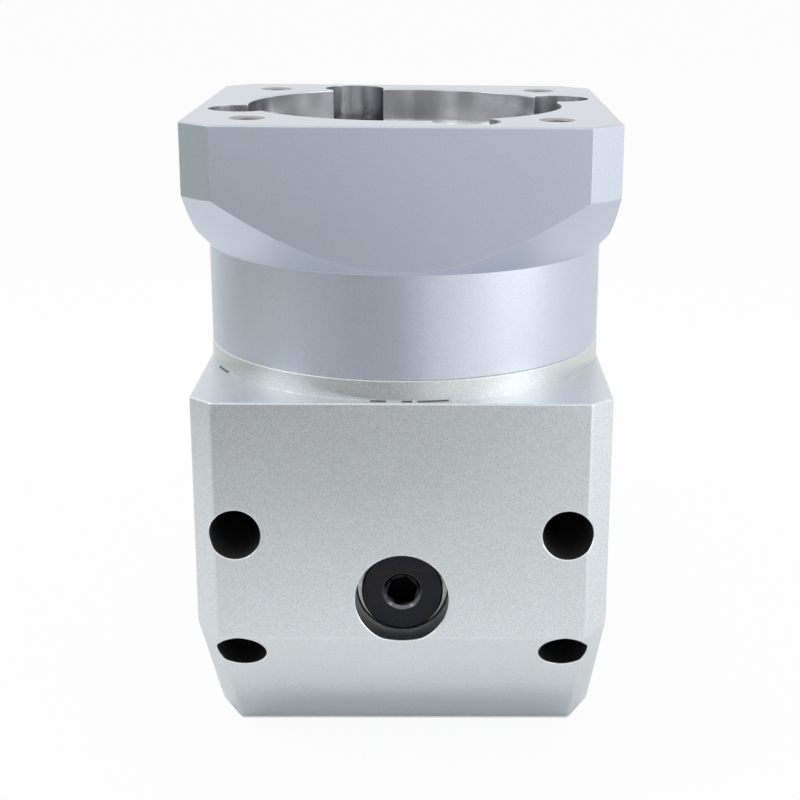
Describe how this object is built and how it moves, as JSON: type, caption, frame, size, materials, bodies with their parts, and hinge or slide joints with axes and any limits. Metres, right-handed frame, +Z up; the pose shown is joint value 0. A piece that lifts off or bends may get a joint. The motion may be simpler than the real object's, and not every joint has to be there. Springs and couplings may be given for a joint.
{
  "type": "right angle planetary gearbox",
  "caption": "Right angle planetary gearbox: square motor flange with a clamp hub, bevel gear block, round ring gear section, and square output flange with a keyed shaft.",
  "frame": {"origin": "centre of the output flange's mounting face, on the output axis", "axes": "+Y out along the output shaft, +Z up along the motor axis to the motor flange, +X to the right seen from the plug side"},
  "size_m": [0.09, 0.2133, 0.1483],
  "materials": {
    "block_aluminium": "bead blasted, clear anodised",
    "turned_aluminium": "fine turned",
    "flange_aluminium": "fine blasted, grey anodised, machined bores",
    "ring_steel": "ground",
    "black_steel": "black oxide",
    "washer_aluminium": "stamped",
    "sleeve_steel": "turned",
    "seal_rubber": "moulded",
    "bearing_steel": "ground and polished",
    "gear_steel": "hardened, ground teeth",
    "carrier_steel": "milled",
    "shaft_steel": "ground",
    "bush_bronze": "bored"
  },
  "bodies": {
    "housing": {"right_angle_block": "block_aluminium", "adapter_ring": "turned_aluminium", "input_housing": "flange_aluminium", "input_housing_screws": "black_steel", "clamp_access_plug": "black_steel", "access_plug": "black_steel", "plug_washer": "washer_aluminium", "bearing_sleeve": "sleeve_steel", "sleeve_retaining_ring": "black_steel", "ring_gear": "ring_steel", "output_housing": "flange_aluminium", "housing_bolts": "black_steel", "input_seal": "seal_rubber", "output_seal": "seal_rubber", "lower_input_bearing_outer_race": "bearing_steel", "upper_input_bearing_outer_race": "bearing_steel", "front_bevel_bearing_outer_race": "bearing_steel", "rear_bevel_bearing_outer_race": "bearing_steel", "inner_output_bearing_outer_race": "bearing_steel", "outer_output_bearing_outer_race": "bearing_steel"},
    "input_rotor": {"clamp_hub": "sleeve_steel", "clamp_collar": "sleeve_steel", "clamp_screw": "black_steel", "bevel_pinion": "gear_steel", "lower_input_bearing_inner_race": "bearing_steel", "upper_input_bearing_inner_race": "bearing_steel"},
    "bevel_rotor": {"bevel_gear": "gear_steel", "bevel_key": "sleeve_steel", "sun_shaft": "gear_steel", "shaft_retaining_ring": "black_steel", "gear_washer": "sleeve_steel", "gear_screw": "black_steel", "front_bevel_bearing_inner_race": "bearing_steel", "rear_bevel_bearing_inner_race": "bearing_steel"},
    "first_carrier_rotor": {"first_carrier": "carrier_steel", "second_sun": "gear_steel", "first_planet_pins": "carrier_steel"},
    "output_rotor": {"output_shaft": "shaft_steel", "second_planet_pins": "carrier_steel", "inner_output_bearing_inner_race": "bearing_steel", "outer_output_bearing_inner_race": "bearing_steel"},
    "first_planet_rotor_1": {"first_planet_1": "gear_steel", "first_bush_1": "bush_bronze"},
    "first_planet_rotor_2": {"first_planet_2": "gear_steel", "first_bush_2": "bush_bronze"},
    "first_planet_rotor_3": {"first_planet_3": "gear_steel", "first_bush_3": "bush_bronze"},
    "second_planet_rotor_1": {"second_planet_1": "gear_steel", "second_bush_1": "bush_bronze"},
    "second_planet_rotor_2": {"second_planet_2": "gear_steel", "second_bush_2": "bush_bronze"},
    "second_planet_rotor_3": {"second_planet_3": "gear_steel", "second_bush_3": "bush_bronze"}
  },
  "joints": [
    {"name": "input_spin", "type": "hinge", "parent": "housing", "child": "input_rotor", "pos_m": [0, -0.122, 0], "axis": [0, 0, 1], "continuous": true},
    {"name": "bevel_spin", "type": "hinge", "parent": "housing", "child": "bevel_rotor", "pos_m": [0, 0, 0], "axis": [0, 1, 0], "continuous": true},
    {"name": "first_carrier_spin", "type": "hinge", "parent": "housing", "child": "first_carrier_rotor", "pos_m": [0, 0, 0], "axis": [0, 1, 0], "continuous": true},
    {"name": "output_spin", "type": "hinge", "parent": "housing", "child": "output_rotor", "pos_m": [0, 0, 0], "axis": [0, 1, 0], "continuous": true},
    {"name": "first_planet_1_spin", "type": "hinge", "parent": "first_carrier_rotor", "child": "first_planet_rotor_1", "pos_m": [0, 0, 0.01875], "axis": [0, 1, 0], "continuous": true},
    {"name": "first_planet_2_spin", "type": "hinge", "parent": "first_carrier_rotor", "child": "first_planet_rotor_2", "pos_m": [0.01624, 0, -0.00937], "axis": [0, 1, 0], "continuous": true},
    {"name": "first_planet_3_spin", "type": "hinge", "parent": "first_carrier_rotor", "child": "first_planet_rotor_3", "pos_m": [-0.01624, 0, -0.00937], "axis": [0, 1, 0], "continuous": true},
    {"name": "second_planet_1_spin", "type": "hinge", "parent": "output_rotor", "child": "second_planet_rotor_1", "pos_m": [0, 0, 0.01875], "axis": [0, 1, 0], "continuous": true},
    {"name": "second_planet_2_spin", "type": "hinge", "parent": "output_rotor", "child": "second_planet_rotor_2", "pos_m": [0.01624, 0, -0.00937], "axis": [0, 1, 0], "continuous": true},
    {"name": "second_planet_3_spin", "type": "hinge", "parent": "output_rotor", "child": "second_planet_rotor_3", "pos_m": [-0.01624, 0, -0.00937], "axis": [0, 1, 0], "continuous": true}
  ],
  "couplings": [
    {"joint": "bevel_spin", "follows": "input_spin", "ratio": -0.5},
    {"joint": "first_carrier_spin", "follows": "input_spin", "ratio": -0.1},
    {"joint": "output_spin", "follows": "input_spin", "ratio": -0.02},
    {"joint": "first_planet_1_spin", "follows": "input_spin", "ratio": 0.26667},
    {"joint": "first_planet_2_spin", "follows": "input_spin", "ratio": 0.26667},
    {"joint": "first_planet_3_spin", "follows": "input_spin", "ratio": 0.26667},
    {"joint": "second_planet_1_spin", "follows": "input_spin", "ratio": 0.053333},
    {"joint": "second_planet_2_spin", "follows": "input_spin", "ratio": 0.053333},
    {"joint": "second_planet_3_spin", "follows": "input_spin", "ratio": 0.053333}
  ]
}
